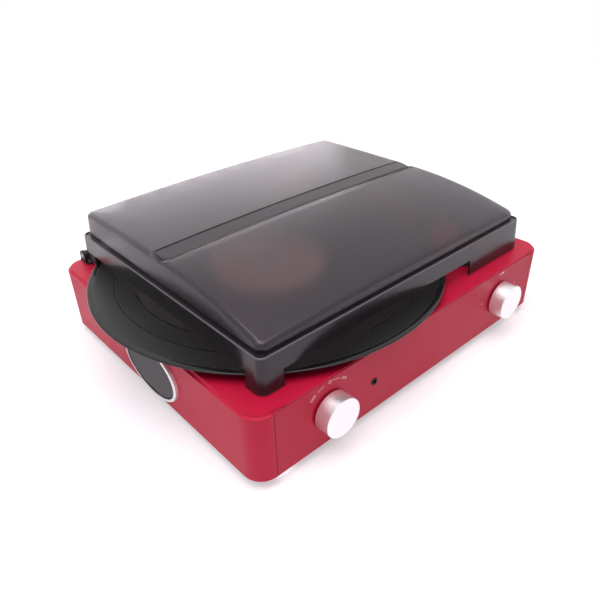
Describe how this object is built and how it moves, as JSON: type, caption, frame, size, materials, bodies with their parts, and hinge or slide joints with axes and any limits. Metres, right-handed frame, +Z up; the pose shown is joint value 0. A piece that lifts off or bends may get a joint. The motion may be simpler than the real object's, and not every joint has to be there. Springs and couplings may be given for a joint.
{
  "type": "record player",
  "caption": "Low box-shaped record player with speakers in its sides, front knobs, a belt-driven turntable holding a record, a tonearm, and a smoke-tinted lid on rear hinges.",
  "frame": {"origin": "centre of the whole outline on the surface that the player stands on", "axes": "+X to the player's right, +Y to its back, +Z up"},
  "size_m": [0.3655, 0.3038, 0.1199],
  "materials": {
    "red_shell": "soft-touch satin moulding",
    "black_shell": "fine-textured moulding",
    "smoked_lid": "smoke-tinted clear moulding",
    "turned_aluminium": "turned and anodised",
    "bright_ring": "bright silver coating",
    "foot_cup": "bright coating",
    "vinyl": "pressed and grooved",
    "paper_label": "uncoated paper",
    "felt": "pressed felt",
    "rubber": "moulded",
    "steel": "plain turned or drawn",
    "screw_steel": "blackened",
    "brass": "turned",
    "socket_black": "moulded with a metal barrel",
    "driver_paper": "paper cone on a pressed basket",
    "board": "laminate with its components",
    "cartridge_body": "moulded",
    "stylus_holder": "clear red moulding"
  },
  "bodies": {
    "root": {"case_shell": "red_shell", "front_panel": "red_shell", "bottom_cover": "black_shell", "cover_screws": "screw_steel", "foot_cups": "foot_cup", "foot_pads": "rubber", "left_speaker_bezel": "bright_ring", "left_speaker_grille": "black_shell", "left_speaker_driver": "driver_paper", "right_speaker_bezel": "bright_ring", "right_speaker_grille": "black_shell", "right_speaker_driver": "driver_paper", "power_switch": "socket_black", "volume_control": "socket_black", "aux_jack": "socket_black", "socket_plate": "black_shell", "phono_sockets": "socket_black", "inlet_socket": "socket_black", "circuit_board": "board", "spindle_bush": "brass", "motor": "steel", "drive_belt": "rubber", "single_adapter": "black_shell", "tonearm_pedestal": "black_shell", "arm_rest": "black_shell", "speed_plate": "black_shell", "autostop_plate": "black_shell", "left_hinge_bracket": "black_shell", "right_hinge_bracket": "black_shell", "hinge_pins": "steel", "bracket_screws": "screw_steel"},
    "lid": {"dust_cover": "smoked_lid", "lid_bumpers": "rubber", "left_hinge_arm": "black_shell", "right_hinge_arm": "black_shell"},
    "turntable": {"platter": "turned_aluminium", "slip_mat": "felt", "spindle": "steel", "vinyl_record": "vinyl", "record_label": "paper_label"},
    "pulley": {"motor_pulley": "brass"},
    "power": {"power_knob": "turned_aluminium", "power_shaft": "steel"},
    "volume": {"volume_knob": "turned_aluminium", "volume_shaft": "steel"},
    "gimbal": {"arm_gimbal": "turned_aluminium", "gimbal_pin": "steel"},
    "arm": {"arm_housing": "black_shell", "arm_tube": "turned_aluminium", "counterweight": "turned_aluminium", "headshell": "black_shell", "cartridge": "cartridge_body", "stylus": "stylus_holder"},
    "cue": {"cue_lever": "black_shell"},
    "lift": {"lift_bar": "steel"},
    "clip": {"arm_clip": "black_shell"},
    "speed": {"speed_button": "black_shell"},
    "autostop": {"autostop_button": "black_shell"}
  },
  "joints": [
    {"name": "lid_hinge", "type": "hinge", "parent": "root", "child": "lid", "pos_m": [0.01075, 0.1329, 0.0735], "axis": [-1, 0, 0], "range_deg": [0, 80]},
    {"name": "platter_spin", "type": "hinge", "parent": "root", "child": "turntable", "pos_m": [-0.03225, 0.0014, 0.0715], "axis": [0, 0, -1], "continuous": true},
    {"name": "pulley_spin", "type": "hinge", "parent": "root", "child": "pulley", "pos_m": [0.01, 0.07458, 0.0585], "axis": [0, 0, -1], "continuous": true},
    {"name": "power_turn", "type": "hinge", "parent": "root", "child": "power", "pos_m": [-0.09325, -0.1426, 0.0388], "axis": [0, 1, 0], "range_deg": [0, 70]},
    {"name": "volume_turn", "type": "hinge", "parent": "root", "child": "volume", "pos_m": [0.11475, -0.1426, 0.0388], "axis": [0, 1, 0], "range_deg": [0, 300]},
    {"name": "tonearm_swing", "type": "hinge", "parent": "root", "child": "gimbal", "pos_m": [0.12575, 0.0969, 0.0805], "axis": [0, 0, -1], "range_deg": [0, 44]},
    {"name": "tonearm_lift", "type": "hinge", "parent": "gimbal", "child": "arm", "pos_m": [0.12575, 0.0969, 0.0885], "axis": [-1, 0, 0], "range_deg": [0, 2.4]},
    {"name": "cue_turn", "type": "hinge", "parent": "root", "child": "cue", "pos_m": [0.13775, 0.0609, 0.0735], "axis": [-1, 0, 0], "range_deg": [0, 45]},
    {"name": "lift_slide", "type": "slide", "parent": "root", "child": "lift", "axis": [0, 0, 1], "range_m": [0, 0.0015]},
    {"name": "clip_turn", "type": "hinge", "parent": "root", "child": "clip", "pos_m": [0.13165, -0.0426, 0.093], "axis": [0, -1, 0], "range_deg": [0, 105]},
    {"name": "speed_slide", "type": "slide", "parent": "root", "child": "speed", "axis": [0, 1, 0], "range_m": [0, 0.014]},
    {"name": "autostop_slide", "type": "slide", "parent": "root", "child": "autostop", "axis": [0, 1, 0], "range_m": [0, 0.005]}
  ],
  "couplings": [
    {"joint": "pulley_spin", "follows": "platter_spin", "ratio": 13.636},
    {"joint": "lift_slide", "follows": "cue_turn", "m_per_rad": 0.0019097},
    {"joint": "tonearm_lift", "follows": "cue_turn", "ratio": 0.053328}
  ]
}
